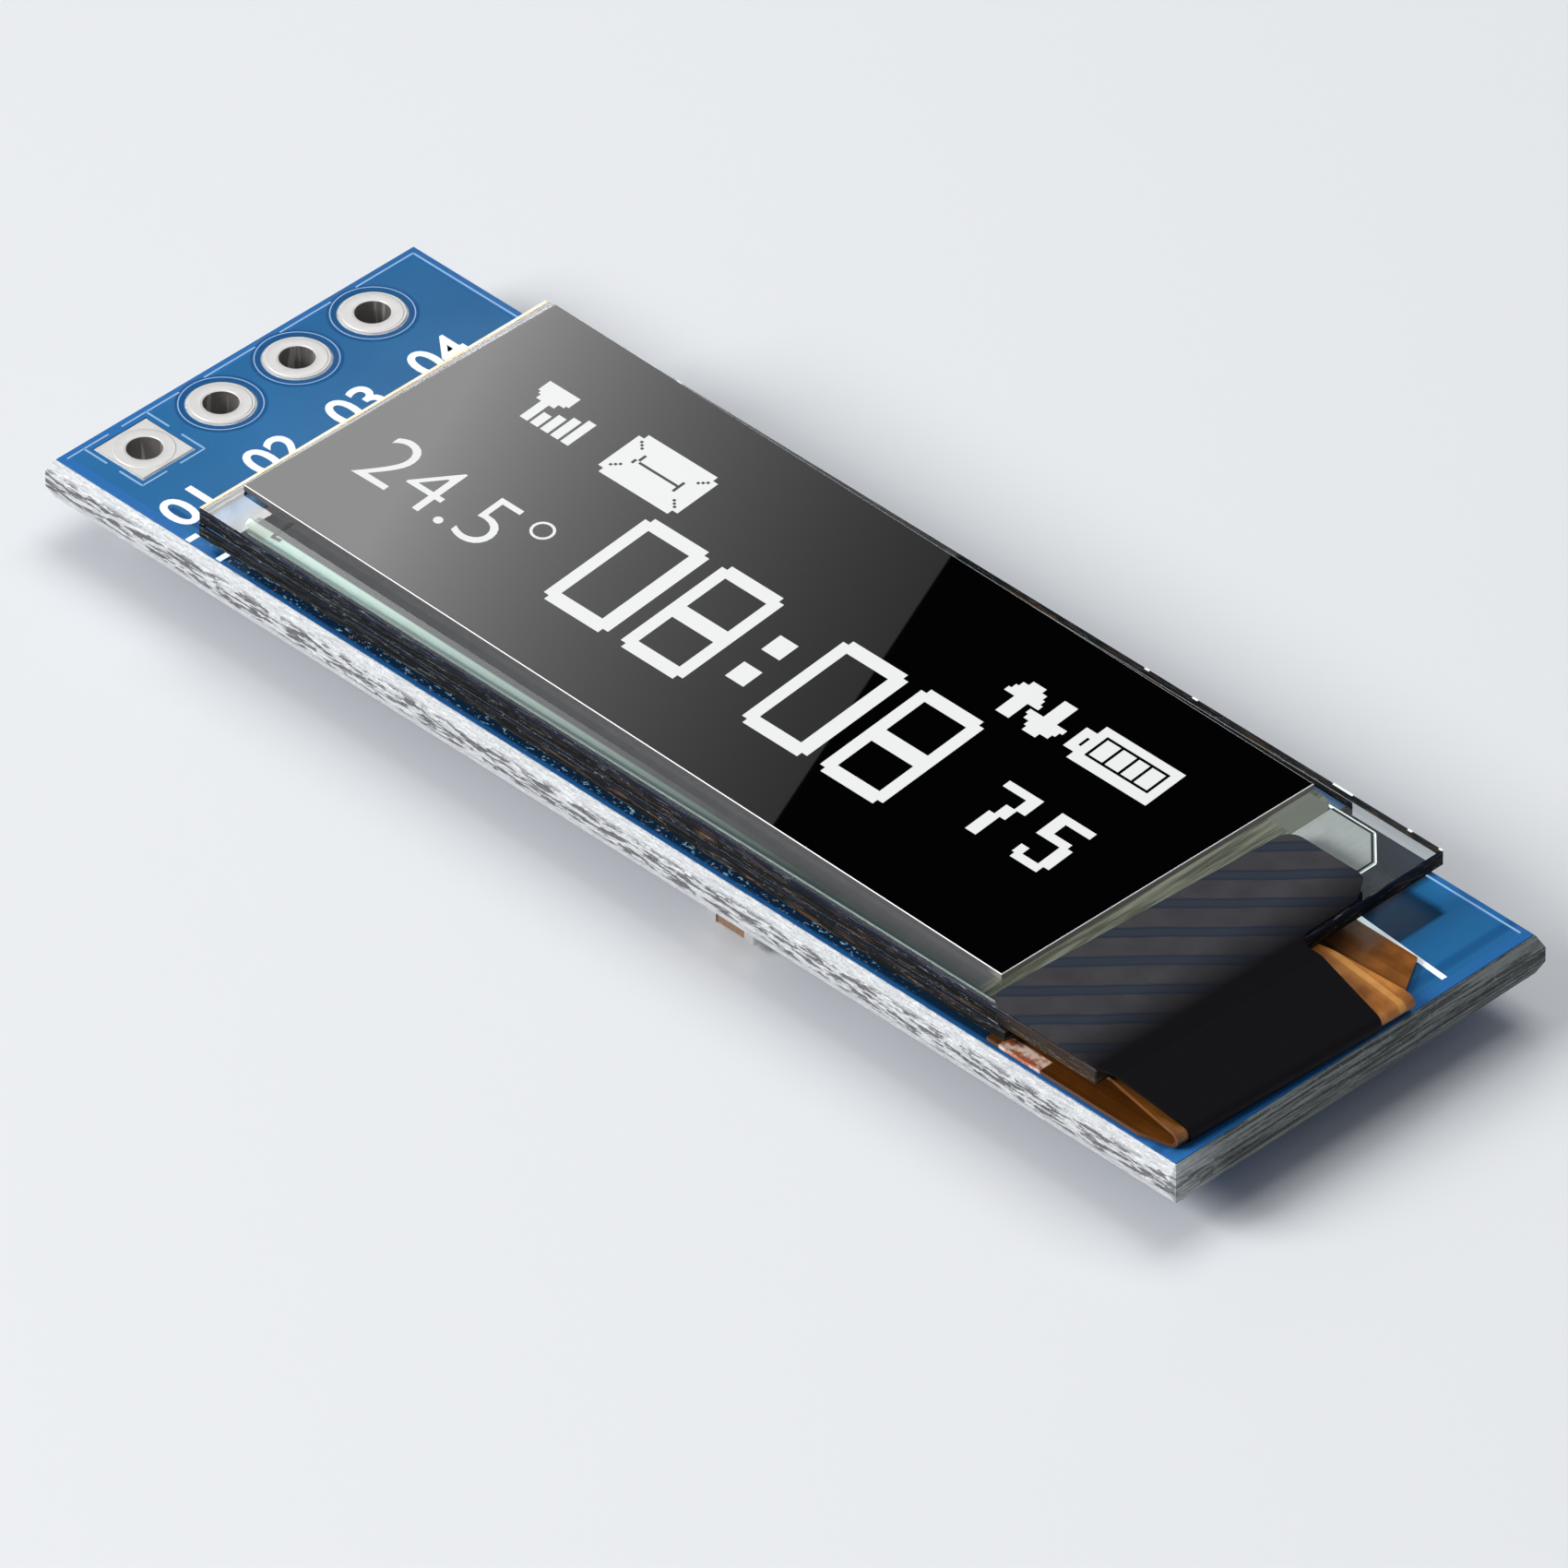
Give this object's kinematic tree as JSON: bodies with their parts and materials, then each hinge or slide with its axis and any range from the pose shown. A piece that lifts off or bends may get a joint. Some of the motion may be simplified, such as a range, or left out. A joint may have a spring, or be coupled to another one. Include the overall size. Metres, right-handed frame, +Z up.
{
  "type": "oled display module",
  "caption": "Narrow circuit board with a bare glass display panel on top, a folded flex cable at one end and a row of plated header holes at the other.",
  "frame": {"origin": "middle of the board's outline, on the plane that the underside parts rest on", "axes": "+X along the board from the header holes to the flex fold, +Y across it away from the square pad's side, +Z up out of the display face"},
  "size_m": [0.0384, 0.0124, 0.0037],
  "materials": {
    "laminate": "matte",
    "solder_mask": "gloss",
    "tinned_copper": "satin",
    "solder": "satin",
    "foam_tape": "matte",
    "display_glass": "gloss",
    "getter": "matte",
    "seal": "matte",
    "pixel_film": "gloss",
    "contact_film": "satin",
    "polarizer_film": "gloss",
    "bare_chip": "gloss",
    "flex_film": "gloss",
    "shield_film": "satin",
    "capacitor_ceramic": "satin",
    "resistor_ceramic": "matte",
    "resistor_coat": "gloss",
    "end_plating": "satin",
    "moulded_package": "matte",
    "lead_plating": "satin"
  },
  "bodies": {
    "root": {"cap_glass": "display_glass", "capacitor_1_body": "capacitor_ceramic", "capacitor_1_ends": "end_plating", "capacitor_2_body": "capacitor_ceramic", "capacitor_2_ends": "end_plating", "capacitor_3_body": "capacitor_ceramic", "capacitor_3_ends": "end_plating", "capacitor_4_body": "capacitor_ceramic", "capacitor_4_ends": "end_plating", "capacitor_5_body": "capacitor_ceramic", "capacitor_5_ends": "end_plating", "capacitor_6_body": "capacitor_ceramic", "capacitor_6_ends": "end_plating", "capacitor_7_body": "capacitor_ceramic", "capacitor_7_ends": "end_plating", "capacitor_8_body": "capacitor_ceramic", "capacitor_8_ends": "end_plating", "contact_tab": "contact_film", "diode_body": "moulded_package", "diode_leads": "lead_plating", "driver_chip": "bare_chip", "flex_cable": "flex_film", "flex_pads": "tinned_copper", "flex_solder": "solder", "front_glass": "display_glass", "getter_sheet": "getter", "mounting_tape": "foam_tape", "pin_pad_1": "tinned_copper", "pin_pad_2": "tinned_copper", "pin_pad_3": "tinned_copper", "pin_pad_4": "tinned_copper", "pixel_layer": "pixel_film", "polarizer": "polarizer_film", "regulator_body": "moulded_package", "regulator_leads": "lead_plating", "resistor_1_body": "resistor_ceramic", "resistor_1_ends": "end_plating", "resistor_2_body": "resistor_ceramic", "resistor_2_ends": "end_plating", "resistor_3_body": "resistor_ceramic", "resistor_3_ends": "end_plating", "resistor_4_body": "resistor_ceramic", "resistor_4_ends": "end_plating", "resistor_5_body": "resistor_ceramic", "resistor_5_ends": "end_plating", "resistor_glaze": "resistor_coat", "seal_frame": "seal", "shield_tape": "shield_film", "solder_mask_bottom": "solder_mask", "solder_mask_top": "solder_mask", "substrate": "laminate", "underside_pads": "tinned_copper", "underside_solder": "solder"}
  },
  "joints": []
}
